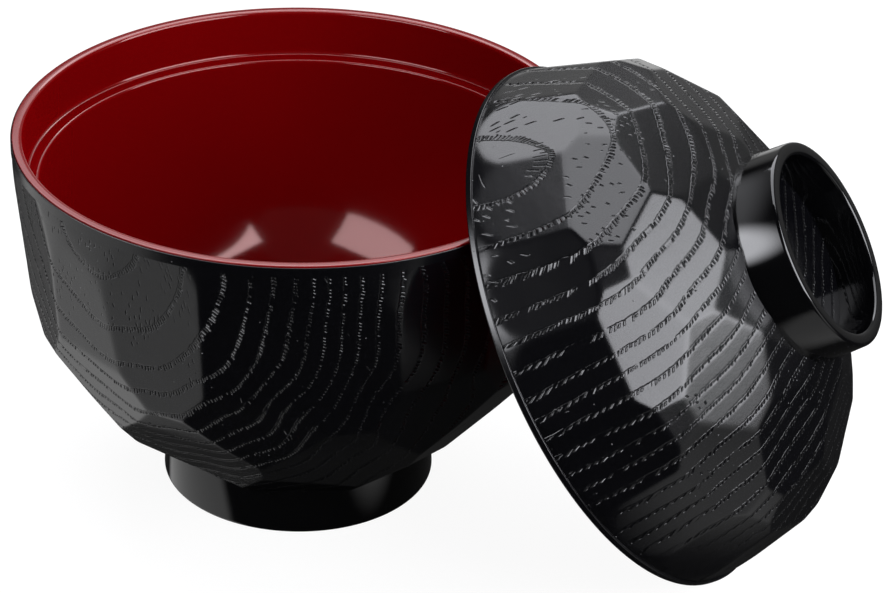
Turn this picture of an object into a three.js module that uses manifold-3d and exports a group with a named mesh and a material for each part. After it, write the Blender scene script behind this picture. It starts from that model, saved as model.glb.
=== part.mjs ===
// Lidded rice bowl with a carved, many-faceted black outside and a smooth red inside.
// The bowl stands on its foot ring, and its lid leans on the bowl's rim with its lip on the table.
//
// Millimetres, +Z up. The origin is the centre of the flat underside inside the foot ring.
// Heights written as "height" below are counted from the table and are moved down by FOOT_RECESS.

import * as THREE from "three";
import { mergeVertices } from "three/addons/utils/BufferGeometryUtils.js";
import Module from "manifold-3d";

const wasm = await Module();
wasm.setup();

const { degToRad } = THREE.MathUtils;

// ---- driving dimensions -------------------------------------------------------------------

const TURNING_STEPS = 54; // sides of every turned surface
const GAP = 0.3; // clearance between two pieces that meet
const LINING = 0.6; // thickness of a red lining
const EDGE = 0.6; // chamfer on the rings' edges

// Bowl
const BOWL_RADIUS = 66; // outside of the rim
const BOWL_HEIGHT = 89.4;
const RIM_WALL = 2.8; // rim's thickness, beside the lid's recess
const LIP_BAND = 1.8; // smooth band under the rim that no facet cuts
const LEDGE_HEIGHT = 77.9; // the lid's lip sits here, inside the rim
const LEDGE_WIDTH = 3.5;
const WELL_HEIGHT = 14.0; // deepest point of the bowl's inside
const BODY_BASE = 11.5; // lowest edge of the faceted body
const FOOT_RECESS = 8.5; // depth of the hollow inside the foot ring
const FOOT_RADIUS = 32.2;
const FOOT_TOP_RADIUS = 31.4;
const FOOT_WALL = 3.8;

// Lid, in its own frame: +Z towards the knob, the lip's lower face at 0
const LID_RADIUS = 62.1;
const LID_LIP_HEIGHT = 1.6;
const LID_LIP_WALL = 3.6;
const LID_BAND_RADIUS = 61.6; // smooth band between the lip and the facets
const LID_HOLLOW_HEIGHT = 41.5;
const LID_LINING_START = 1.2; // the lining stops this far above the lip's lower face
const CROWN_HEIGHT = 45.1; // flat floor inside the knob ring
const CROWN_RADIUS = 20.5;
const KNOB_HEIGHT = 54.4;
const KNOB_RADIUS = 23.9;
const KNOB_BASE_RADIUS = 24.4;
const KNOB_INNER_RADIUS = 20.8;
const KNOB_SEAT = 43.6; // floor of the groove that the knob ring stands in

// The lid's leaning place
const LEAN = degToRad(57.6); // tilt away from level
const LEAN_AZIMUTH = degToRad(-18.9); // direction in which it leans away from the bowl
const LEAN_REACH = 77.2; // level distance between the two axes, at the lid's lip plane

// Facets are planes, cut in rings round the axis. Each ring's planes pass through the point
// (radius, height) on their own centre line, and lean back from upright by "lean" degrees.
const BOWL_TURN = 221; // azimuth of a bowl facet, in degrees
const BOWL_FACETS = [
  { name: "upper", start: 0, count: 18, lean: -5.8, radius: 62.0, height: 52.8, skip: 3 },
  { name: "upper shallow", start: 0, count: 6, lean: -8, radius: 62.0, height: 52.8 },
  { name: "kite", start: 0, count: 9, lean: -20, radius: 62.0, height: 52.8 },
  { name: "small", start: 20, count: 9, lean: -35, radius: 61.4, height: 44.9 },
  { name: "lower", start: 20, count: 9, lean: -38.7, radius: 55.6, height: 36.6 },
  { name: "base", start: 10, count: 9, lean: -50.9, radius: 33.2, height: 12.5 },
];
const LID_TURN = 126.3;
const LID_FACETS = [
  { name: "edge", start: 0, count: 18, lean: 16, radius: 55.7, height: 22.0 },
  { name: "kite", start: 0, count: 9, lean: 41.1, radius: 55.7, height: 22.0 },
  { name: "small", start: 20, count: 9, lean: 39.2, radius: 54.4, height: 25.2 },
  { name: "upper", start: 20, count: 9, lean: 58.9, radius: 50.1, height: 30.2 },
  { name: "crown", start: 0, count: 9, lean: 69.5, radius: 37.0, height: 39.4 },
];

// ---- solids -------------------------------------------------------------------------------

// A closed geometry as a manifold-3d solid.
function toSolid(geometry) {
  const shape = geometry.clone();
  shape.deleteAttribute("normal");
  shape.deleteAttribute("uv");
  const merged = mergeVertices(shape, 1e-4);
  return new wasm.Manifold(
    new wasm.Mesh({
      numProp: 3,
      vertProperties: merged.attributes.position.array,
      triVerts: new Uint32Array(merged.index.array),
    }),
  );
}

function toGeometry(solid) {
  const mesh = solid.getMesh();
  const geometry = new THREE.BufferGeometry();
  geometry.setAttribute("position", new THREE.BufferAttribute(mesh.vertProperties, 3));
  geometry.setIndex(new THREE.BufferAttribute(mesh.triVerts, 1));
  geometry.computeVertexNormals();
  return geometry;
}

// A profile of [radius, height] points, anticlockwise round the solid, turned about +Z.
function turned(profile) {
  const points = profile.map(([radius, height]) => new THREE.Vector2(radius, height));
  return new THREE.LatheGeometry(points, TURNING_STEPS).rotateX(Math.PI / 2);
}

const turnedSolid = (profile) => toSolid(turned(profile));

// A block whose inner face is the facet's plane; everything beyond the plane is cut away.
function facetBlock({ lean, radius, height }, azimuth) {
  const size = 4 * BOWL_RADIUS;
  const tilt = degToRad(lean);
  const distance = Math.cos(tilt) * radius + Math.sin(tilt) * height;
  const block = new THREE.BoxGeometry(size, size, size);
  block.translate(distance + size / 2, 0, 0);
  block.rotateY(-tilt);
  block.rotateZ(degToRad(azimuth));
  return toSolid(block);
}

function carve(blank, rings, turn) {
  let solid = blank;
  for (const ring of rings) {
    for (let i = 0; i < ring.count; i++) {
      if (ring.skip && i % ring.skip === 0) continue;
      const azimuth = turn + ring.start + (i * 360) / ring.count;
      solid = solid.subtract(facetBlock(ring, azimuth));
    }
  }
  return solid;
}

// The profile moved sideways by a distance, to its right as it is walked.
function offset(profile, distance) {
  return profile.map(([r, z], i) => {
    const [r0, z0] = profile[Math.max(i - 1, 0)];
    const [r1, z1] = profile[Math.min(i + 1, profile.length - 1)];
    const before = new THREE.Vector2(r - r0, z - z0);
    const after = new THREE.Vector2(r1 - r, z1 - z);
    if (i === 0) before.copy(after);
    if (i === profile.length - 1) after.copy(before);
    const side = (v) => new THREE.Vector2(v.y, -v.x).normalize();
    const miter = side(before).add(side(after)).normalize();
    const stretch = distance / miter.dot(side(before));
    return [r === 0 ? 0 : r + miter.x * stretch, z + miter.y * stretch]; // the axis stays put
  });
}

function curve(start, startPull, endPull, end, steps) {
  const points = [start, startPull, endPull, end].map(([r, z]) => new THREE.Vector2(r, z));
  return new THREE.CubicBezierCurve(...points).getPoints(steps).map((p) => [p.x, p.y]);
}

const tableToFrame = (profile) => profile.map(([r, z]) => [r, z - FOOT_RECESS]);

// ---- bowl ---------------------------------------------------------------------------------

const ledgeInner = BOWL_RADIUS - RIM_WALL - LEDGE_WIDTH;

// What the eye sees inside the bowl, from the well's centre up and out over the rim.
const bowlInside = tableToFrame([
  ...curve([0, WELL_HEIGHT], [48, WELL_HEIGHT], [59, 42], [ledgeInner, LEDGE_HEIGHT], 9),
  [BOWL_RADIUS - RIM_WALL, LEDGE_HEIGHT],
  [BOWL_RADIUS - RIM_WALL, BOWL_HEIGHT],
  [BOWL_RADIUS - GAP, BOWL_HEIGHT],
]);

function bowlBody() {
  const boss = FOOT_RADIUS - FOOT_WALL - GAP;
  const blank = turnedSolid(
    tableToFrame([
      [0, FOOT_RECESS],
      [boss, FOOT_RECESS],
      [boss, BODY_BASE],
      [34.5, BODY_BASE],
      [48, 21.8],
      [58.5, 36.6],
      [63.3, 52.8],
      [65.1, 69.3],
      [65.75, 76.5],
      [BOWL_RADIUS, 84],
      [BOWL_RADIUS, BOWL_HEIGHT],
      [0, BOWL_HEIGHT],
    ]),
  );
  const rings = BOWL_FACETS.map((ring) => ({ ...ring, height: ring.height - FOOT_RECESS }));
  const top = BOWL_HEIGHT - LINING - GAP;
  const lip = turnedSolid(
    tableToFrame([
      [ledgeInner + LEDGE_WIDTH, top - LIP_BAND],
      [BOWL_RADIUS, top - LIP_BAND],
      [BOWL_RADIUS, top],
      [ledgeInner + LEDGE_WIDTH, top],
      [ledgeInner + LEDGE_WIDTH, top - LIP_BAND],
    ]),
  );
  const hollow = turnedSolid([
    ...offset(bowlInside, LINING + GAP),
    [BOWL_RADIUS + 5, top - FOOT_RECESS],
    [BOWL_RADIUS + 5, BOWL_HEIGHT],
    [0, BOWL_HEIGHT],
  ]);
  return toGeometry(carve(blank, rings, BOWL_TURN).add(lip).subtract(hollow));
}

function bowlLining() {
  return turned([...offset(bowlInside, LINING), ...bowlInside.slice().reverse()]);
}

function footRing() {
  const inner = FOOT_RADIUS - FOOT_WALL;
  const top = BODY_BASE - GAP;
  return turned(
    tableToFrame([
      [inner + EDGE, 0],
      [FOOT_RADIUS - EDGE, 0],
      [FOOT_RADIUS, EDGE],
      [FOOT_TOP_RADIUS, top],
      [inner, top],
      [inner, EDGE],
      [inner + EDGE, 0],
    ]),
  );
}

// ---- lid ----------------------------------------------------------------------------------

// The lid's hollow, from the lip up and in to its centre.
const lidInside = curve(
  [LID_RADIUS - LID_LIP_WALL, LID_LINING_START],
  [56.8, 18],
  [46, LID_HOLLOW_HEIGHT],
  [0, LID_HOLLOW_HEIGHT],
  9,
);

function lidBody() {
  const blank = turnedSolid([
    [0, 0],
    [LID_BAND_RADIUS, 0],
    [LID_BAND_RADIUS, 2],
    [61.2, 5],
    [59.9, 12],
    [57.2, 22],
    [51.5, 31],
    [45, 36.5],
    [38.5, 40.2],
    [30, 44.2],
    [24, CROWN_HEIGHT],
    [0, CROWN_HEIGHT],
  ]);
  const lipInner = LID_RADIUS - LID_LIP_WALL;
  const lip = turnedSolid([
    [lipInner, 0],
    [LID_RADIUS, 0],
    [LID_RADIUS, LID_LIP_HEIGHT],
    [lipInner, LID_LIP_HEIGHT],
    [lipInner, 0],
  ]);
  const hollow = turnedSolid([
    [0, -1],
    [lipInner, -1],
    [lipInner, LID_LINING_START - GAP],
    [lipInner + LINING + GAP, LID_LINING_START - GAP],
    ...offset(lidInside, LINING + GAP),
  ]);
  const seatOuter = KNOB_BASE_RADIUS + GAP;
  const seat = turnedSolid([
    [CROWN_RADIUS, KNOB_SEAT],
    [seatOuter, KNOB_SEAT],
    [seatOuter, KNOB_HEIGHT],
    [CROWN_RADIUS, KNOB_HEIGHT],
    [CROWN_RADIUS, KNOB_SEAT],
  ]);
  return toGeometry(carve(blank, LID_FACETS, LID_TURN).add(lip).subtract(hollow).subtract(seat));
}

function lidLining() {
  return turned([...lidInside.slice().reverse(), ...offset(lidInside, LINING)]);
}

function knobRing() {
  const base = KNOB_SEAT + GAP;
  return turned([
    [KNOB_INNER_RADIUS, base],
    [KNOB_BASE_RADIUS, base],
    [KNOB_RADIUS, KNOB_HEIGHT - EDGE],
    [KNOB_RADIUS - EDGE, KNOB_HEIGHT],
    [KNOB_INNER_RADIUS + EDGE, KNOB_HEIGHT],
    [KNOB_INNER_RADIUS, KNOB_HEIGHT - EDGE],
    [KNOB_INNER_RADIUS, base],
  ]);
}

// ---- assembly -----------------------------------------------------------------------------

const carvedBlack = new THREE.MeshStandardMaterial({ color: 0x0b0b0d, roughness: 0.4 });
const polishedBlack = new THREE.MeshStandardMaterial({ color: 0x08080a, roughness: 0.12 });
const red = new THREE.MeshStandardMaterial({ color: 0x8c0a10, roughness: 0.2 });

function piece(name, geometry, material) {
  const mesh = new THREE.Mesh(geometry, material);
  mesh.name = name;
  return mesh;
}

const bowl = new THREE.Group();
bowl.add(piece("bowl_body", bowlBody(), carvedBlack));
bowl.add(piece("bowl_foot_ring", footRing(), polishedBlack));
bowl.add(piece("bowl_red_lining", bowlLining(), red));

const lid = new THREE.Group();
lid.add(piece("lid_body", lidBody(), carvedBlack));
lid.add(piece("lid_knob_ring", knobRing(), polishedBlack));
lid.add(piece("lid_red_lining", lidLining(), red));
lid.rotation.x = LEAN;

// The lid's lowest lip point is on the table.
const leaningLid = new THREE.Group();
leaningLid.add(lid);
leaningLid.rotation.z = LEAN_AZIMUTH + Math.PI / 2;
leaningLid.position.set(
  LEAN_REACH * Math.cos(LEAN_AZIMUTH),
  LEAN_REACH * Math.sin(LEAN_AZIMUTH),
  LID_RADIUS * Math.sin(LEAN) - FOOT_RECESS,
);

const group = new THREE.Group();
group.add(bowl, leaningLid);

export default group;
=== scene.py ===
"""Rice bowl with a leaning lid: fine surfaces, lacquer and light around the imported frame.

The carved black shells are facets cut out of a turned blank, with rounded edges between them,
and wood grain sunk into them. The rings and the red linings are turned. Millimetres are used
for every size here and become metres only when a mesh is made.
"""

import math

import bpy
import numpy as np
from mathutils import Matrix, Vector


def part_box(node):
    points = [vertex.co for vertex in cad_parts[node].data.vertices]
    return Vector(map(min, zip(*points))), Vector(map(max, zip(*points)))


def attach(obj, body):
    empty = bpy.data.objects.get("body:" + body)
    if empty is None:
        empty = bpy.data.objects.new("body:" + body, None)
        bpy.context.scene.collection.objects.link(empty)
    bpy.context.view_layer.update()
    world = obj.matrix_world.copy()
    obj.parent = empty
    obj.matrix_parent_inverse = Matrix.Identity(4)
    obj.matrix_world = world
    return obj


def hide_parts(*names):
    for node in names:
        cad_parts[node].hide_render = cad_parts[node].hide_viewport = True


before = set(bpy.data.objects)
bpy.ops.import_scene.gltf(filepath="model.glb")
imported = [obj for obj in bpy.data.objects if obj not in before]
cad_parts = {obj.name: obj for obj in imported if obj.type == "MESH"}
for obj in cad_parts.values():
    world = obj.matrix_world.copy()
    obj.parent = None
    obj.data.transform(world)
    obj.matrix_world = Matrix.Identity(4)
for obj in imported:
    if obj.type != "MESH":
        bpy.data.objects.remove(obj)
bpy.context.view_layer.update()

MM = 0.001

# ---- sizes --------------------------------------------------------------------------------

# Bowl heights are counted from the table, which is FOOT_RECESS below the frame's origin.
foot_low, foot_high = (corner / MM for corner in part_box("bowl_foot_ring"))
rim_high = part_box("bowl_red_lining")[1] / MM
FOOT_RECESS = -foot_low.z
FOOT_RADIUS = foot_high.y
BOWL_HEIGHT = rim_high.z + FOOT_RECESS
LINING = 0.6  # thickness of the red linings
COAT_GAP = 0.05  # between a lining and the black shell behind it
RIM_INSET = 0.3  # the red rim ends this far inside the bowl's outside
BOWL_RADIUS = rim_high.y + RIM_INSET
RIM_INNER_RADIUS = 63.2
RIM_START = 86.7  # the carved side ends here, under the rim
LEDGE_HEIGHT = 77.9
LEDGE_RADIUS = 59.7
WELL_HEIGHT = 14.0
BODY_BASE = 11.5
FOOT_TOP_RADIUS = 31.4
FOOT_INNER_RADIUS = 28.4
BOSS_RADIUS = 28.3  # of the bowl's floor, inside the foot ring

LID_RADIUS = 62.1
LID_BAND_RADIUS = 61.7  # inside end of the lip's upper face
LID_LIP_HEIGHT = 1.6
LID_LIP_INNER_RADIUS = 58.5
LID_HOLLOW_HEIGHT = 41.5
LID_LINING_START = 1.2
CROWN_HEIGHT = 45.1
CROWN_RADIUS = 20.78
KNOB_SEAT = 43.6  # floor of the groove that the knob ring stands in
KNOB_HEIGHT = 54.4
KNOB_RADIUS = 23.9
KNOB_BASE_RADIUS = 24.4
KNOB_INNER_RADIUS = 20.8
KNOB_HOLE_RADIUS = 24.42  # outside of that groove

LEAN = math.radians(57.6)  # tilt of the lid away from level
LEAN_AZIMUTH = math.radians(-18.9)
LEAN_REACH = 77.2  # level distance between the two axes, at the lid's lip plane

# Facet rings: planes through (radius, height) on their own centre line, leaning back by "lean".
BOWL_TURN = 221
BOWL_FACETS = [
    {"start": 0, "count": 18, "lean": -5.8, "radius": 62.0, "height": 52.8, "skip": 3},
    {"start": 0, "count": 6, "lean": -8, "radius": 62.0, "height": 52.8},
    {"start": 0, "count": 9, "lean": -20, "radius": 62.0, "height": 52.8},
    {"start": 20, "count": 9, "lean": -35, "radius": 61.4, "height": 44.9},
    {"start": 20, "count": 9, "lean": -38.7, "radius": 55.6, "height": 36.6},
    {"start": 10, "count": 9, "lean": -50.9, "radius": 33.2, "height": 12.5},
]
BOWL_BLANK = [
    (34.5, 11.5),
    (48, 21.8),
    (58.5, 36.6),
    (63.3, 52.8),
    (65.1, 69.3),
    (65.75, 76.5),
    (66, 84),
    (66, RIM_START),
]
LID_TURN = 126.3
LID_FACETS = [
    {"start": 0, "count": 18, "lean": 16, "radius": 55.7, "height": 22.0},
    {"start": 0, "count": 9, "lean": 41.1, "radius": 55.7, "height": 22.0},
    {"start": 20, "count": 9, "lean": 39.2, "radius": 54.4, "height": 25.2},
    {"start": 20, "count": 9, "lean": 58.9, "radius": 50.1, "height": 30.2},
    {"start": 0, "count": 9, "lean": 69.5, "radius": 37.0, "height": 39.4},
]
LID_BLANK = [
    (61.6, 1.6),
    (61.2, 5),
    (59.9, 12),
    (57.2, 22),
    (51.5, 31),
    (45, 36.5),
    (38.5, 40.2),
    (30, 44.2),
    (KNOB_HOLE_RADIUS, 45.1),
]
EDGE_ROUNDING = 0.11  # softness of the edges between facets
RING_ROUNDING = 0.8
LEDGE_ROUNDING = 1.3
ROW_STEP = 0.62  # between the rows of a carved side
CROWN_ROWS = 34
COLUMNS = 640  # of a carved shell
TURNED_STEPS = 240  # of a turned piece

# Growth rings are level sets of the distance to the pith, an oblique line: the square root of
# (across . p)^2 + (depth . p)^2 + core^2, where each form holds its x, y, z and constant terms.
# Rings lie closer together outwards: the first gap is "widest", and the gaps tend to "narrowest".
BOWL_GRAIN = {
    "across": (1.046, -0.684, 0.201, -5.05),
    "depth": (0.0, 0.169, 1.057, -89.5),
    "core": 0.0,
    "first": 15,
    "widest": 14,
    "narrowest": 3.1,
    "shrink": 0.62,
    "open_angle": 80,
    "pores": 0.6,
}
LID_GRAIN = {
    "across": (0.954, -0.270, 0.187, 40.1),
    "depth": (0.0, 1.330, -0.116, -73.3),
    "core": 11.9,
    "first": 15,
    "widest": 9,
    "narrowest": 5.4,
    "shrink": 0.76,
    "open_angle": 120,
    "pores": 1.0,
}
GROOVE_DEPTH = 0.03
GROOVE_WIDTH = 0.34
GROOVE_SHIFT = 0.35  # from the ring's own place, away from the knot


# ---- profiles and meshes ------------------------------------------------------------------


def bezier(p0, p1, p2, p3, steps):
    """A cubic curve from p0 to p3, as steps + 1 points."""
    t = np.linspace(0, 1, steps + 1)[:, None]
    p0, p1, p2, p3 = (np.array(p, float) for p in (p0, p1, p2, p3))
    return (1 - t) ** 3 * p0 + 3 * t * (1 - t) ** 2 * p1 + 3 * t**2 * (1 - t) * p2 + t**3 * p3


def smooth_profile(points, step):
    """A Catmull-Rom curve through the points, resampled to rows about one step apart."""
    p = np.array(points, float)
    p = np.vstack([2 * p[0] - p[1], p, 2 * p[-1] - p[-2]])
    dense = []
    for a, b, c, d in zip(p[:-3], p[1:-2], p[2:-1], p[3:]):
        t = np.linspace(0, 1, 40, endpoint=False)[:, None]
        dense.append(
            0.5 * (2 * b + (c - a) * t + (2 * a - 5 * b + 4 * c - d) * t**2)
            + 0.5 * (3 * b - a - 3 * c + d) * t**3
        )
    dense = np.vstack(dense + [p[-2:-1]])
    length = np.r_[0, np.cumsum(np.linalg.norm(np.diff(dense, axis=0), axis=1))]
    at = np.linspace(0, length[-1], int(length[-1] / step) + 1)
    return np.c_[np.interp(at, length, dense[:, 0]), np.interp(at, length, dense[:, 1])]


def fillet(points, radius, steps=4):
    """Rounds the inner corners of an open profile."""
    p = [np.array(q, float) for q in points]
    out = [p[0]]
    for before, corner, after in zip(p[:-2], p[1:-1], p[2:]):
        a, b = before - corner, after - corner
        reach = min(radius, 0.45 * np.linalg.norm(a), 0.45 * np.linalg.norm(b))
        a, b = (corner + v / np.linalg.norm(v) * reach for v in (a, b))
        t = np.linspace(0, 1, steps + 1)[:, None]
        out.extend((1 - t) ** 2 * a + 2 * t * (1 - t) * corner + t**2 * b)
    out.append(p[-1])
    return np.array(out)


def fillet_loop(points, radius, steps=4):
    """Rounds every corner of a closed profile, given without its end point."""
    wrapped = [points[-1], *points, points[0]]
    return fillet(wrapped, radius, steps)[1:-1]


def turn(profile, columns=TURNED_STEPS):
    """A profile as rows of points round the axis."""
    angle = np.arange(columns) * 2 * np.pi / columns
    r, z = np.array(profile, float).T
    x, y = r[:, None] * np.cos(angle), r[:, None] * np.sin(angle)
    return np.stack([x, y, np.repeat(z[:, None], columns, 1)], axis=-1)


def grid_mesh(name, rows, place, closed, normals=None, attributes=None):
    """A closed surface from rows of points. "closed" joins the last row to the first;
    otherwise the first and last rows shrink to a point on the axis."""
    count, columns = rows.shape[:2]
    points = rows.reshape(-1, 3)
    index = np.arange(count * columns).reshape(count, columns)
    if not closed:
        points = np.vstack([rows[0, 0], rows[1:-1].reshape(-1, 3), rows[-1, 0]])
        index = index - columns + 1
        index[0], index[-1] = 0, len(points) - 1
    following = np.roll(index, -1, axis=1)
    lower = index if closed else index[1:-2]
    lower_next = following if closed else following[1:-2]
    upper = np.roll(index, -1, axis=0) if closed else index[2:-1]
    upper_next = np.roll(following, -1, axis=0) if closed else following[2:-1]
    quads = np.stack([lower, lower_next, upper_next, upper], -1).reshape(-1, 4)
    faces = [quads]
    if not closed:
        faces.append(np.stack([index[0], following[1], index[1]], -1))
        faces.append(np.stack([index[-1], index[-2], following[-2]], -1))
    sizes = np.concatenate([np.full(len(f), f.shape[1]) for f in faces])
    corners = np.concatenate([f.ravel() for f in faces])

    mesh = bpy.data.meshes.new(name)
    mesh.vertices.add(len(points))
    place = np.array(place)
    world = points @ place[:3, :3].T + place[:3, 3]
    mesh.vertices.foreach_set("co", (world * MM).astype(np.float32).ravel())
    mesh.loops.add(len(corners))
    mesh.loops.foreach_set("vertex_index", corners.astype(np.int32))
    mesh.polygons.add(len(sizes))
    mesh.polygons.foreach_set("loop_start", (np.cumsum(sizes) - sizes).astype(np.int32))
    mesh.update(calc_edges=True)
    mesh.validate()
    mesh.shade_smooth()
    for label, values in (attributes or {}).items():
        values = values.reshape(count, columns)
        flat = values.ravel()
        if not closed:
            flat = np.r_[values[0, 0], values[1:-1].ravel(), values[-1, 0]]
        attribute = mesh.attributes.new(label, "FLOAT", "POINT")
        attribute.data.foreach_set("value", flat.astype(np.float32))
    if normals is not None:
        flat = normals.reshape(-1, 3)
        if not closed:
            flat = np.vstack([normals[0, 0], normals[1:-1].reshape(-1, 3), normals[-1, 0]])
        turned_normals = flat @ place[:3, :3].T
        mesh.normals_split_custom_set_from_vertices(turned_normals.tolist())
    piece = bpy.data.objects.new(name, mesh)
    bpy.context.scene.collection.objects.link(piece)
    return piece


# ---- carving ------------------------------------------------------------------------------


def facet_planes(rings, turn_degrees):
    """Unit normals and distances of every facet's plane."""
    normals, distances = [], []
    for ring in rings:
        tilt = math.radians(ring["lean"])
        distance = math.cos(tilt) * ring["radius"] + math.sin(tilt) * ring["height"]
        for i in range(ring["count"]):
            if "skip" in ring and i % ring["skip"] == 0:
                continue
            angle = math.radians(turn_degrees + ring["start"] + i * 360 / ring["count"])
            level = math.cos(tilt)
            normals.append((level * math.cos(angle), level * math.sin(angle), math.sin(tilt)))
            distances.append(distance)
    return np.array(normals), np.array(distances)


def carve(origins, targets, blank_normals, planes):
    """Rows of points and normals where rays from the origins through the targets, both
    [radius, height], meet the carved surface. The planes and the blank's tangent plane are
    joined by a power mean, which rounds the edges between them."""
    angle = np.arange(COLUMNS) * 2 * np.pi / COLUMNS
    radial = np.stack([np.cos(angle), np.sin(angle), 0 * angle], -1)
    up = np.array([0.0, 0.0, 1.0])
    facet_normals, distances = planes
    points, normals = [], []
    for (r0, z0), (r1, z1), (nr, nz) in zip(origins, targets, blank_normals):
        start = radial * r0 + up * z0
        ray = radial * (r1 - r0) + up * (z1 - z0)
        reach = math.hypot(r1 - r0, z1 - z0)
        ray = ray / reach
        blank_normal = radial * nr + up * nz
        blank_share = 1 / reach
        share = (ray @ facet_normals.T) / (distances - start @ facet_normals.T)
        share = np.c_[share, np.full(COLUMNS, blank_share)]
        top = share.max(axis=1, keepdims=True)
        power = reach / EDGE_ROUNDING
        weight = np.exp(power * np.log(np.clip(share / top, 1e-9, None)))
        whole = top[:, 0] * weight.sum(axis=1) ** (1 / power)
        points.append(start + ray / whole[:, None])
        gaps = distances - start @ facet_normals.T
        blank_gap = reach * (ray * blank_normal).sum(1)
        slope = (weight[:, :-1] / gaps) @ facet_normals
        slope = slope + weight[:, -1:] * blank_normal / blank_gap[:, None]
        normals.append(slope / np.linalg.norm(slope, axis=1, keepdims=True))
    return np.array(points), np.array(normals)


def profile_normals(profile):
    """A unit normal at each point of a profile, to the right of its direction."""
    along = np.gradient(profile, axis=0)
    side = np.c_[along[:, 1], -along[:, 0]]
    return side / np.linalg.norm(side, axis=1, keepdims=True)


# ---- grain --------------------------------------------------------------------------------


def grain_of(points, normals, grain):
    """Ring number, distance in millimetres from the nearest ring, and places along the ring."""
    across, depth = np.array(grain["across"]), np.array(grain["depth"])
    a = points @ across[:3] + across[3]
    b = points @ depth[:3] + depth[3]
    distance = np.sqrt(a**2 + b**2 + grain["core"] ** 2) + 1e-6
    # Real rings waver by less than a millimetre.
    waver = 0.45 * np.sin(0.31 * a + 0.9 * np.sin(0.13 * b)) + 0.35 * np.sin(0.27 * b + 1.1)
    extra = (grain["widest"] - grain["narrowest"]) * grain["shrink"] ** np.arange(70)
    places = np.r_[0, grain["first"], grain["first"] + np.cumsum(grain["narrowest"] + extra)]
    numbers = np.arange(len(places))
    waved = distance + waver
    ring = np.interp(waved, places, numbers)
    rate = 1 / np.diff(places)[np.clip(np.searchsorted(places, waved) - 1, 0, len(places) - 2)]
    gradient = (a[..., None] * across[:3] + b[..., None] * depth[:3]) / distance[..., None]
    flat = gradient - normals * (gradient * normals).sum(-1, keepdims=True)
    # A ring that cuts the surface at a low angle looks wider there.
    steep = np.maximum(np.linalg.norm(flat, axis=-1), 0.15)
    gap = 1 / (rate * steep)
    nearest = np.clip(np.round(ring), 0, len(places) - 1)
    # Places along a ring are counted from the side where the rings don't close.
    opening = math.radians(180 - grain["open_angle"])
    turned_a = a * math.cos(opening) - b * math.sin(opening)
    turned_b = a * math.sin(opening) + b * math.cos(opening)
    angle = np.arctan2(turned_b, turned_a)
    return {
        "ring": ring,
        "gap": gap,
        "along": angle * places[nearest.astype(int)],
        "free": angle * distance,
        "depth": distance,
        "uphill": flat / np.maximum(np.linalg.norm(flat, axis=-1, keepdims=True), 1e-9),
    }


def sink_grain(points, normals, grain):
    """Presses a shallow groove along each ring, and returns the moved points and normals."""
    found = grain_of(points, normals, grain)
    away = (found["ring"] - np.round(found["ring"])) * found["gap"] - GROOVE_SHIFT
    shape = GROOVE_DEPTH * np.exp(-((away / GROOVE_WIDTH) ** 2))
    shape = shape * (found["ring"] > 0.5)
    rise = -2 * away / GROOVE_WIDTH**2 * shape
    uphill = found.pop("uphill")
    moved = points - normals * shape[..., None]
    leaned = normals + uphill * rise[..., None]
    return moved, leaned / np.linalg.norm(leaned, axis=-1, keepdims=True), found


def shell(name, parts, place, grain):
    """A closed shell from turned profiles and carved (points, normals) parts, in order.
    Grain is sunk into the carved parts only."""
    rows, normals, carved = [], [], []
    for part in parts:
        if isinstance(part, tuple):
            points, directions = part
            carved.append(np.ones(points.shape[:2]))
        else:
            profile = np.array(part, float)
            points = turn(profile, COLUMNS)
            directions = turn(profile_normals(profile), COLUMNS)
            carved.append(np.zeros(points.shape[:2]))
        rows.append(points)
        normals.append(directions)
    rows, normals, carved = (np.concatenate(part) for part in (rows, normals, carved))
    sunk, leaned, attributes = sink_grain(rows, normals, grain)
    mask = carved[..., None] > 0.5
    attributes["carved"] = carved * grain["pores"]
    return grid_mesh(
        name,
        np.where(mask, sunk, rows),
        place,
        closed=False,
        normals=np.where(mask, leaned, normals),
        attributes=attributes,
    )


# ---- pieces -------------------------------------------------------------------------------

bowl_place = Matrix.Translation((0, 0, -FOOT_RECESS))
lid_centre = (
    LEAN_REACH * math.cos(LEAN_AZIMUTH),
    LEAN_REACH * math.sin(LEAN_AZIMUTH),
    LID_RADIUS * math.sin(LEAN) - FOOT_RECESS,
)
lid_turned = Matrix.Rotation(LEAN_AZIMUTH + math.pi / 2, 4, "Z") @ Matrix.Rotation(LEAN, 4, "X")
lid_place = Matrix.Translation(lid_centre) @ lid_turned

bowl_curve = bezier((0, WELL_HEIGHT), (48, WELL_HEIGHT), (59, 42), (LEDGE_RADIUS, LEDGE_HEIGHT), 60)
lid_curve = bezier(
    (LID_LIP_INNER_RADIUS, LID_LINING_START), (56.8, 18), (46, LID_HOLLOW_HEIGHT), (0, LID_HOLLOW_HEIGHT), 60
)


def moved_aside(profile, distance):
    """The profile moved to its right by a distance; points on the axis stay on it."""
    side = profile_normals(profile)
    moved = profile + side * distance
    moved[profile[:, 0] == 0, 0] = 0
    return moved


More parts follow.
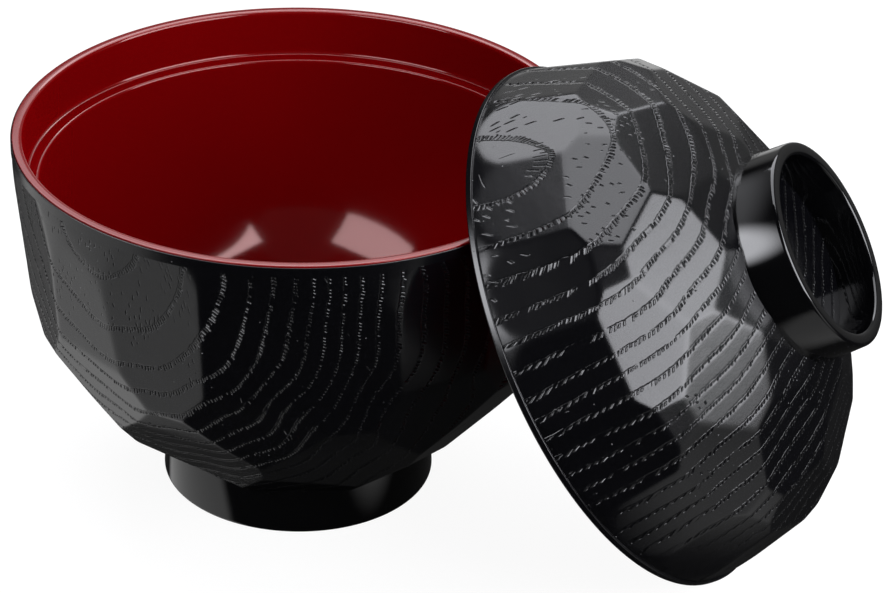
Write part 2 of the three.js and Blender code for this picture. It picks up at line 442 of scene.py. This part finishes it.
def bowl_lining():
    """The red inside, the ledge that the lid sits on, and the red top of the rim."""
    recess = fillet(
        [
            bowl_curve[-2],
            (LEDGE_RADIUS, LEDGE_HEIGHT),
            (RIM_INNER_RADIUS, LEDGE_HEIGHT),
            (RIM_INNER_RADIUS, BOWL_HEIGHT),
            (BOWL_RADIUS - RIM_INSET, BOWL_HEIGHT),
            (BOWL_RADIUS - RIM_INSET, BOWL_HEIGHT - LINING),
            (RIM_INNER_RADIUS + LINING, BOWL_HEIGHT - LINING),
            (RIM_INNER_RADIUS + LINING, LEDGE_HEIGHT - LINING),
            (LEDGE_RADIUS + LINING, LEDGE_HEIGHT - LINING),
        ],
        LEDGE_ROUNDING,
        steps=8,
    )
    outside = moved_aside(bowl_curve, LINING)[::-1]
    return turn(np.vstack([bowl_curve[:-1], recess[1:], outside[1:]]))


def lid_lining():
    """The red inside of the lid's dome."""
    outside = moved_aside(lid_curve, LINING)
    return turn(np.vstack([lid_curve[::-1], outside]))


def foot_ring():
    """The polished ring that the bowl stands on."""
    corners = [
        (FOOT_INNER_RADIUS, 0),
        (FOOT_RADIUS, 0),
        (FOOT_TOP_RADIUS, BODY_BASE),
        (FOOT_INNER_RADIUS, BODY_BASE),
    ]
    return turn(fillet_loop(corners, RING_ROUNDING, steps=5))


def knob_ring():
    """The polished ring that the lid is lifted by."""
    corners = [
        (KNOB_INNER_RADIUS, KNOB_SEAT),
        (KNOB_BASE_RADIUS, KNOB_SEAT),
        (KNOB_RADIUS, KNOB_HEIGHT),
        (KNOB_INNER_RADIUS, KNOB_HEIGHT),
    ]
    return turn(fillet_loop(corners, RING_ROUNDING, steps=5))


def bowl_body():
    """The carved bowl: its underside, its side, its rim and the hollow behind the red lining."""
    blank = smooth_profile(BOWL_BLANK, ROW_STEP)
    origins = np.c_[0 * blank[:, 0], blank[:, 1]]
    planes = facet_planes(BOWL_FACETS, BOWL_TURN)
    side = carve(origins, blank, profile_normals(blank), planes)
    boss = [
        (0, FOOT_RECESS),
        (BOSS_RADIUS, FOOT_RECESS),
        (BOSS_RADIUS, BODY_BASE),
        (FOOT_TOP_RADIUS, BODY_BASE),
    ]
    lip_edge = BOWL_RADIUS - 0.28
    lip_top = BOWL_HEIGHT - LINING + 0.25
    behind = LINING + COAT_GAP
    lip = [
        (BOWL_RADIUS, RIM_START),
        (BOWL_RADIUS, lip_top),
        (lip_edge, lip_top),
        (lip_edge, BOWL_HEIGHT - behind),
        (RIM_INNER_RADIUS + behind, BOWL_HEIGHT - behind),
        (RIM_INNER_RADIUS + behind, LEDGE_HEIGHT - behind),
        (LEDGE_RADIUS + behind, LEDGE_HEIGHT - behind),
    ]
    hollow = moved_aside(bowl_curve, behind)[::-2]
    parts = [fillet(boss, 0.3), side, fillet(lip, 0.3), hollow[1:]]
    return shell("black_bowl_body", parts, bowl_place, BOWL_GRAIN)


def lid_body():
    """The carved dome: its hollow, its lip, its side, the knob's groove and the grained crown."""
    blank = smooth_profile(LID_BLANK, ROW_STEP)
    origins = np.tile([0.0, LID_LIP_HEIGHT], (len(blank), 1))
    planes = facet_planes(LID_FACETS, LID_TURN)
    side = carve(origins, blank, profile_normals(blank), planes)
    behind = LINING + COAT_GAP
    hollow = moved_aside(lid_curve, behind)[::-2]
    lip = [
        (LID_LIP_INNER_RADIUS + behind, LID_LINING_START - COAT_GAP),
        (LID_LIP_INNER_RADIUS, LID_LINING_START - COAT_GAP),
        (LID_LIP_INNER_RADIUS, 0),
        (LID_RADIUS, 0),
        (LID_RADIUS, LID_LIP_HEIGHT),
        (LID_BAND_RADIUS, LID_LIP_HEIGHT),
    ]
    seat = [
        (KNOB_HOLE_RADIUS, 43.9),
        (KNOB_HOLE_RADIUS, KNOB_SEAT),
        (CROWN_RADIUS, KNOB_SEAT),
        (CROWN_RADIUS, 44.9),
    ]
    crown = np.c_[np.linspace(CROWN_RADIUS, 0, CROWN_ROWS), np.full(CROWN_ROWS, CROWN_HEIGHT)]
    crown_normals = np.tile([0.0, 1.0], (CROWN_ROWS, 1))
    crown = (turn(crown, COLUMNS), turn(crown_normals, COLUMNS))
    parts = [hollow, fillet(lip, 0.5), side, seat, crown]
    return shell("black_lid_body", parts, lid_place, LID_GRAIN)


# ---- materials ----------------------------------------------------------------------------


class Recipe:
    """The nodes of a material, light or world, with arithmetic on them written as calls."""

    def __init__(self, owner):
        owner.use_nodes = True
        self.owner = owner
        self.tree = owner.node_tree
        self.surface = self.tree.nodes.get("Principled BSDF")

    def node(self, kind, **inputs):
        """A new node; an underscore in an input's name stands for a space."""
        made = self.tree.nodes.new(kind)
        for label, value in inputs.items():
            self.connect(value, made.inputs[label.replace("_", " ")])
        return made

    def connect(self, value, socket):
        """Links another node's output to the socket, or sets a plain value."""
        if isinstance(value, bpy.types.NodeSocket):
            self.tree.links.new(value, socket)
        else:
            socket.default_value = value

    def math(self, operation, *values):
        made = self.tree.nodes.new("ShaderNodeMath")
        made.operation = operation
        for value, socket in zip(values, made.inputs):
            self.connect(value, socket)
        return made.outputs[0]

    def add(self, a, b):
        return self.math("ADD", a, b)

    def sub(self, a, b):
        return self.math("SUBTRACT", a, b)

    def mul(self, a, b):
        return self.math("MULTIPLY", a, b)

    def bell(self, value, width):
        """1 where value is 0, falling off over width."""
        scaled = self.math("DIVIDE", value, width)
        return self.math("EXPONENT", self.mul(self.mul(scaled, scaled), -1.0))

    def between(self, value, low, high, soft):
        """1 from low to high, with soft ends."""
        rise = self.step(value, self.sub(low, soft), self.add(low, soft))
        fall = self.step(value, self.sub(high, soft), self.add(high, soft))
        return self.sub(rise, fall)

    def step(self, value, low, high):
        """A smooth rise from 0 at low to 1 at high."""
        made = self.tree.nodes.new("ShaderNodeMapRange")
        made.interpolation_type = "SMOOTHSTEP"
        for label, given in (("Value", value), ("From Min", low), ("From Max", high)):
            self.connect(given, made.inputs[label])
        return made.outputs["Result"]

    def attribute(self, name):
        made = self.tree.nodes.new("ShaderNodeAttribute")
        made.attribute_name = name
        return made.outputs["Fac"]

    def clamp(self, value, low, high):
        return self.math("MAXIMUM", self.math("MINIMUM", value, high), low)

    def vector(self, x, y):
        return self.node("ShaderNodeCombineXYZ", X=x, Y=y).outputs[0]

    def dice(self, x, y):
        """A random number for each pair of whole numbers."""
        made = self.tree.nodes.new("ShaderNodeTexWhiteNoise")
        made.noise_dimensions = "2D"
        self.connect(self.vector(x, y), made.inputs["Vector"])
        return made.outputs["Value"]

    def noise(self, vector, scale, detail=2.0):
        made = self.node("ShaderNodeTexNoise", Vector=vector, Scale=scale, Detail=detail)
        return made.outputs["Fac"]

    def compare(self, operation, vector, constant):
        """The DISTANCE or DOT_PRODUCT of a vector and a constant one."""
        made = self.tree.nodes.new("ShaderNodeVectorMath")
        made.operation = operation
        self.connect(vector, made.inputs[0])
        self.connect(constant, made.inputs[1])
        return made.outputs["Value"]

    def place(self):
        return self.node("ShaderNodeTexCoord").outputs["Object"]

    def rays(self, question):
        """1 for the rays that the question, such as "Is Camera Ray", is true of."""
        return self.node("ShaderNodeLightPath").outputs[question]

    def bump(self, height):
        """A normal bent by a height in millimetres."""
        return self.node("ShaderNodeBump", Height=height, Distance=MM, Strength=1.0).outputs["Normal"]

    def mix_colour(self, factor, first, second):
        made = self.tree.nodes.new("ShaderNodeMix")
        made.data_type = "RGBA"
        self.connect(factor, made.inputs["Factor"])
        made.inputs["A"].default_value = (*first, 1.0)
        made.inputs["B"].default_value = (*second, 1.0)
        return made.outputs["Result"]

    def mix_shader(self, factor, first, second):
        made = self.tree.nodes.new("ShaderNodeMixShader")
        for value, socket in zip((factor, first, second), made.inputs):
            self.connect(value, socket)
        return made.outputs[0]

    def set(self, **inputs):
        """Sets or links inputs of the surface's own shader."""
        for label, value in inputs.items():
            self.connect(value, self.surface.inputs[label.replace("_", " ")])


PORE_DEPTH = 0.32  # where the rings lie far apart; less where they are close
CUT_DEPTH = 0.08
LOOSE_PORE_DEPTH = 0.2
NIB_HEIGHT = 0.15


def ring_grain(m):
    """Depth of the grain that follows the rings: a row of short oblique pores on each ring's
    side away from the knot, and a thin broken cut on its near side."""
    ring, gap, along = m.attribute("ring"), m.attribute("gap"), m.attribute("along")
    number = m.math("ROUND", ring)
    wander = m.sub(m.noise(m.vector(m.mul(along, 0.7), number), 1.0), 0.5)
    away = m.add(m.mul(m.sub(ring, number), gap), m.mul(wander, 0.7))

    place = m.add(m.add(m.mul(along, 1.1), m.mul(wander, 0.4)), m.mul(away, 0.32))
    cell = m.math("FLOOR", place)
    luck, other_luck = m.dice(cell, number), m.dice(number, cell)
    centre = m.add(m.mul(m.sub(luck, 0.5), 0.3), 0.5)
    tilt = m.mul(m.sub(other_luck, 0.5), m.mul(away, 0.3))
    pore = m.bell(m.add(m.sub(m.sub(place, cell), centre), tilt), 0.19)
    width = m.clamp(m.math("DIVIDE", gap, 6.0), 0.4, 1.1)
    reach = m.mul(m.add(m.mul(luck, 0.6), 0.55), width)
    start = m.mul(m.sub(other_luck, 0.7), 0.3)
    pore = m.mul(pore, m.between(away, start, reach, 0.1))
    pore = m.mul(pore, m.step(other_luck, 0.03, 0.2))

    cut = m.bell(m.add(away, 0.3), 0.1)
    cut = m.mul(cut, m.step(m.noise(m.vector(m.mul(along, 0.3), number), 1.0), 0.35, 0.5))
    return m.add(m.mul(pore, m.mul(width, PORE_DEPTH)), m.mul(cut, CUT_DEPTH))


def loose_pores(m):
    """Depth of the pores that lie between the rings, in clusters near the knot."""
    free, depth = m.attribute("free"), m.attribute("depth")
    down = m.math("DIVIDE", depth, 1.7)
    line = m.math("FLOOR", down)
    across = m.add(m.math("DIVIDE", free, 1.9), m.mul(m.dice(line, 17.0), 9.0))
    column = m.math("FLOOR", across)
    chance, other_chance = m.dice(m.add(column, 31.0), line), m.dice(line, column)
    cluster = m.noise(m.vector(m.mul(free, 0.1), m.mul(depth, 0.1)), 1.0)
    rare = m.mul(m.step(depth, 28.0, 42.0), 0.2)
    chosen = m.step(m.sub(m.add(m.mul(chance, 0.3), cluster), rare), 0.7, 0.73)
    lean = m.mul(m.sub(other_chance, 0.5), m.sub(down, line))
    side = m.add(m.sub(m.sub(across, column), 0.5), m.mul(lean, 0.6))
    first = m.mul(other_chance, 0.4)
    length = m.between(m.sub(down, line), m.add(first, 0.05), m.add(first, 0.6), 0.08)
    return m.mul(m.mul(m.mul(m.bell(side, 0.09), length), chosen), LOOSE_PORE_DEPTH)


def dust_and_glints(m):
    """1 on fine raised nibs of dust here and there in the lacquer, which are also painted pale as glints."""
    cell = m.node("ShaderNodeTexVoronoi", Vector=m.place(), Scale=480.0)
    colour = m.node("ShaderNodeSeparateColor", Color=cell.outputs["Color"])
    present = m.step(colour.outputs["Red"], 0.84, 0.9)
    return m.mul(m.bell(cell.outputs["Distance"], 0.045), present)


def carved_black():
    """Satin black lacquer over open-pored wood grain."""
    m = Recipe(bpy.data.materials.new("carved_black"))
    # The dust nibs are raised by the bump, and their pale colour is a painted glint.
    nib_and_glint = dust_and_glints(m)
    grain = m.mul(m.add(ring_grain(m), loose_pores(m)), m.attribute("carved"))
    grain = m.sub(grain, m.mul(nib_and_glint, NIB_HEIGHT))
    skin = m.mul(m.noise(m.place(), 2600.0, 3.0), 0.006)
    ripple = m.mul(m.noise(m.place(), 160.0, 2.0), 0.03)
    cloud = m.noise(m.place(), 60.0)
    m.set(
        # Painted glints: pale colour on the dust nibs.
        Base_Color=m.mix_colour(nib_and_glint, (0.0008, 0.0008, 0.0013), (0.3, 0.3, 0.3)),
        Roughness=m.clamp(m.sub(m.add(m.mul(cloud, 0.06), 0.19), m.mul(grain, 0.6)), 0.08, 0.4),
        IOR=1.5,
        Normal=m.bump(m.sub(m.add(skin, ripple), grain)),
    )
    return m.owner


def polished_black():
    """Glossy black, with the faint unevenness of a lacquered ring."""
    m = Recipe(bpy.data.materials.new("polished_black"))
    swell = m.mul(m.noise(m.place(), 90.0), 0.02)
    cloud = m.noise(m.place(), 45.0)
    m.set(
        Base_Color=(0.0008, 0.0008, 0.001, 1.0),
        Roughness=m.add(m.mul(cloud, 0.04), 0.06),
        IOR=1.52,
        Normal=m.bump(swell),
    )
    return m.owner


def red_lacquer():
    """Deep glossy red under a clear coat."""
    m = Recipe(bpy.data.materials.new("red_lacquer"))
    cloud = m.noise(m.place(), 25.0)
    swell = m.mul(m.noise(m.place(), 70.0), 0.015)
    # One wall's highlights aren't mirrored again by the wall across from it.
    mirrored = m.rays("Is Glossy Ray")
    m.set(
        Base_Color=m.mix_colour(cloud, (0.106, 0.0003, 0.0007), (0.126, 0.0004, 0.0009)),
        Specular_IOR_Level=m.mul(m.sub(1.0, mirrored), 0.75),
        Specular_Tint=(1.0, 0.64, 0.61, 1.0),
        Roughness=m.add(m.mul(cloud, 0.04), 0.07),
        IOR=1.43,
        Normal=m.bump(swell),
    )
    return m.owner


# ---- stage --------------------------------------------------------------------------------


def soften(light):
    """The light is brightest in its middle and fades out before its edges."""
    m = Recipe(light)
    emission = next(n for n in m.tree.nodes if n.type == "EMISSION")
    place = m.node("ShaderNodeNewGeometry").outputs["Parametric"]
    from_middle = m.compare("DISTANCE", place, (0.5, 0.5, 0.0))
    m.connect(m.sub(1.0, m.step(from_middle, 0.2, 0.5)), emission.inputs["Strength"])


LIT_POINT = Vector((0.03, 0.0, 0.04))  # between the bowl and the lid
LAMP_COLOUR = (0.965, 0.975, 1.03)


def shine_on(lamp, *pieces):
    """The light reaches only these pieces."""
    group = bpy.data.collections.new(lamp.name + "_pieces")
    for piece in pieces:
        group.objects.link(piece)
    lamp.light_linking.receiver_collection = group


def direction(azimuth, elevation):
    """A unit vector; the angles are in degrees, and the azimuth is counted from +X."""
    azimuth, elevation = math.radians(azimuth), math.radians(elevation)
    level = math.cos(elevation)
    return Vector((level * math.cos(azimuth), level * math.sin(azimuth), math.sin(elevation)))


def softbox(name, seen_at, distance, size, radiance):
    """A rectangular light that faces the object from an (azimuth, elevation)."""
    away = direction(*seen_at)
    light = bpy.data.lights.new(name, "AREA")
    light.shape = "RECTANGLE"
    light.size, light.size_y = size
    light.energy = radiance * math.pi * size[0] * size[1]
    light.color = LAMP_COLOUR
    lamp = bpy.data.objects.new(name, light)
    lamp.location = LIT_POINT + away * distance
    lamp.rotation_euler = away.to_track_quat("Z", "Y").to_euler()
    lamp.visible_camera = False
    bpy.context.scene.collection.objects.link(lamp)
    return lamp


# Pale patches of the studio that the lacquer mirrors: (azimuth, elevation), the angles from
# there at which the patch starts to fade and ends, and its radiance.
WALLS = [
    ((55, 25), 20, 42, 0.25),
    ((82, -3), 6, 15, 1.3),
    ((95, 12), 6, 16, 0.3),
    ((90, 42), 10, 30, 0.1),
    ((269, 38), 19, 23, 0.09),
    ((335, 0), 8, 32, 0.9),
    ((168, -36), 31, 39, 0.95),
]
STUDIO_GLOW = 0.03  # of the studio between the patches
BACKGROUND = 1.3  # what the camera sees behind the object


def studio_world():
    """White for the camera; for every other ray, dark with a few soft pale patches."""
    world = bpy.data.worlds.new("studio")
    bpy.context.scene.world = world
    m = Recipe(world)
    m.tree.nodes.clear()
    towards = m.node("ShaderNodeTexCoord").outputs["Generated"]
    glow = STUDIO_GLOW
    for middle, inner, outer, radiance in WALLS:
        closeness = m.compare("DOT_PRODUCT", towards, direction(*middle))
        low, high = math.cos(math.radians(outer)), math.cos(math.radians(inner))
        glow = m.add(glow, m.mul(m.step(closeness, low, high), radiance))
    seen = m.rays("Is Camera Ray")
    strength = m.add(m.mul(seen, BACKGROUND), m.mul(m.sub(1.0, seen), glow))
    background = m.node("ShaderNodeBackground", Strength=strength)
    m.node("ShaderNodeOutputWorld", Surface=background.outputs[0])


# A round pale card on the table, in metres, that the lid's lower facets mirror.
CARD_PLACE = (0.140, -0.118, 0.0)
CARD_RADII = (0.040, 0.065)  # where it starts to fade, and where it ends
CARD_GLOW = 0.5


def floor():
    """A white table with a faint contact shadow. Mirror rays see only the card on it, and pass
    through the rest of it to the studio."""
    size = 4.0
    mesh = bpy.data.meshes.new("table")
    half = size / 2
    corners = [(-half, -half, 0), (half, -half, 0), (half, half, 0), (-half, half, 0)]
    mesh.from_pydata(corners, [], [(0, 1, 2, 3)])
    plane = bpy.data.objects.new("table", mesh)
    plane.location.z = -FOOT_RECESS * MM - 0.00002  # just clear of the foot
    bpy.context.scene.collection.objects.link(plane)
    m = Recipe(bpy.data.materials.new("table"))
    m.set(Base_Color=(0.8, 0.8, 0.8, 1.0), Roughness=0.9, Specular_IOR_Level=0.0)
    matt = m.surface.outputs[0]
    white = m.node("ShaderNodeEmission", Strength=1.1).outputs[0]
    lit = m.mix_shader(m.rays("Is Camera Ray"), matt, m.mix_shader(0.85, matt, white))
    clear = m.node("ShaderNodeBsdfTransparent").outputs[0]
    paper = m.node("ShaderNodeEmission", Strength=CARD_GLOW).outputs[0]
    card = m.sub(1.0, m.step(m.compare("DISTANCE", m.place(), CARD_PLACE), *CARD_RADII))
    mirrored = m.mix_shader(card, clear, paper)
    final = m.mix_shader(m.rays("Is Glossy Ray"), lit, mirrored)
    m.connect(final, m.tree.nodes["Material Output"].inputs["Surface"])
    mesh.materials.append(m.owner)


# ---- camera -------------------------------------------------------------------------------

CAMERA_TARGET = Vector((0, 0, 42.9 - FOOT_RECESS)) * MM
CAMERA_DISTANCE = 820.4 * MM
CAMERA_ELEVATION = math.radians(29.541)
CAMERA_ROLL = math.radians(0.248)
CAMERA_LENS = 140.537  # on a sensor 36 mm wide
CAMERA_SHIFT = (0.16566, 0.00906)  # of the lens, as shares of the picture's width


def camera():
    """A long lens that looks along +Y and down, with the object left of the picture's centre."""
    data = bpy.data.cameras.new("camera")
    data.sensor_width = 36.0
    data.lens = CAMERA_LENS
    data.shift_x, data.shift_y = CAMERA_SHIFT
    data.clip_start, data.clip_end = 0.05, 20.0
    forward = Vector((0, math.cos(CAMERA_ELEVATION), -math.sin(CAMERA_ELEVATION)))
    level = Vector((1, 0, 0))
    upright = level.cross(forward)
    right = level * math.cos(CAMERA_ROLL) + upright * math.sin(CAMERA_ROLL)
    up = upright * math.cos(CAMERA_ROLL) - level * math.sin(CAMERA_ROLL)
    place = Matrix((right, up, -forward)).transposed().to_4x4()
    place.translation = CAMERA_TARGET - forward * CAMERA_DISTANCE
    eye = bpy.data.objects.new("camera", data)
    eye.matrix_world = place
    bpy.context.scene.collection.objects.link(eye)
    bpy.context.scene.camera = eye


# ---- assembly -----------------------------------------------------------------------------


def dress(piece, body, node, material):
    """Gives a piece its material, and puts it in the place of a node of the frame."""
    piece.data.materials.clear()
    piece.data.materials.append(material)
    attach(piece, body)
    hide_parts(node)


satin, polish, red = carved_black(), polished_black(), red_lacquer()
bowl_black = bowl_body()
dress(bowl_black, "bowl", "bowl_body", satin)
lid_black = lid_body()
dress(lid_black, "lid", "lid_body", satin)
foot = grid_mesh("black_foot_ring", foot_ring(), bowl_place, closed=True)
dress(foot, "bowl", "bowl_foot_ring", polish)
knob = grid_mesh("black_knob_ring", knob_ring(), lid_place, closed=True)
dress(knob, "lid", "lid_knob_ring", polish)
bowl_red = grid_mesh("red_bowl_lining", bowl_lining(), bowl_place, closed=False)
dress(bowl_red, "bowl", "bowl_red_lining", red)
lid_red = grid_mesh("red_lid_lining", lid_lining(), lid_place, closed=False)
dress(lid_red, "lid", "lid_red_lining", red)

floor()
studio_world()
softbox("right_softbox", (325, 29), 0.8, (0.75, 0.55), 8.5)
softbox("overhead_softbox", (85, 66), 1.1, (1.2, 1.3), 4.0)

# The glossy black and the red lining each mirror a left softbox of their own.
left = softbox("left_softbox", (200, 23), 0.9, (1.05, 0.62), 9.5)
soften(left.data)
shine_on(left, bowl_black, lid_black, foot, knob)
rim_card = softbox("rim_card", (90, 38), 0.9, (1.1, 0.3), 1.7)
shine_on(rim_card, bowl_red, lid_red)
inside = softbox("left_softbox_for_red", (222, 34), 0.9, (0.6, 0.36), 6.5)
shine_on(inside, bowl_red, lid_red)

# A dim card that only the knob ring mirrors, along its left side.
card = softbox("knob_card", (158, 32), 0.9, (1.7, 0.7), 1.0)
soften(card.data)
shine_on(card, knob)
camera()

scene = bpy.context.scene
scene.view_settings.view_transform = "Standard"
scene.view_settings.look = "None"
